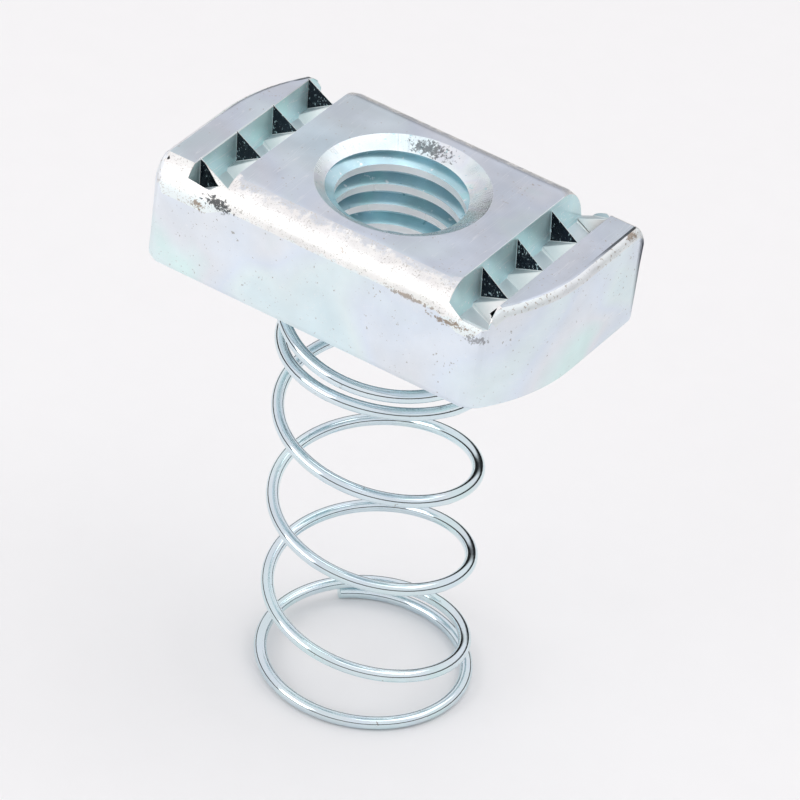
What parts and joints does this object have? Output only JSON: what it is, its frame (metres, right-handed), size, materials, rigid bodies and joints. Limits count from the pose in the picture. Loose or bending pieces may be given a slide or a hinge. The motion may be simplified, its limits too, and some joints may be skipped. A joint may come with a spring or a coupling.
{
  "type": "strut spring nut",
  "caption": "Rectangular tapped nut with two toothed grooves on top and a coil spring below, for clamping fittings to slotted strut channel.",
  "frame": {"origin": "on the axis of the tapped hole, in the plane that the spring's foot stands on", "axes": "+Z along the tapped hole, from the spring towards the toothed face; +X along the nut's length"},
  "size_m": [0.0348, 0.0204, 0.0483],
  "materials": {
    "nut_plating": "bright zinc plating with a faint blue and lilac tint, satin on the rolled edges",
    "spring_wire": "bright drawn and zinc plated wire"
  },
  "bodies": {
    "spring": {"spring": "spring_wire"},
    "nut": {"channel_nut": "nut_plating"}
  },
  "joints": [
    {"name": "nut_press", "type": "slide", "parent": "spring", "child": "nut", "axis": [0, 0, 1], "range_m": [-0.03, 0], "stiffness_N_per_m": 860, "springref_m": 0.0025, "deforming": ["spring"]}
  ]
}
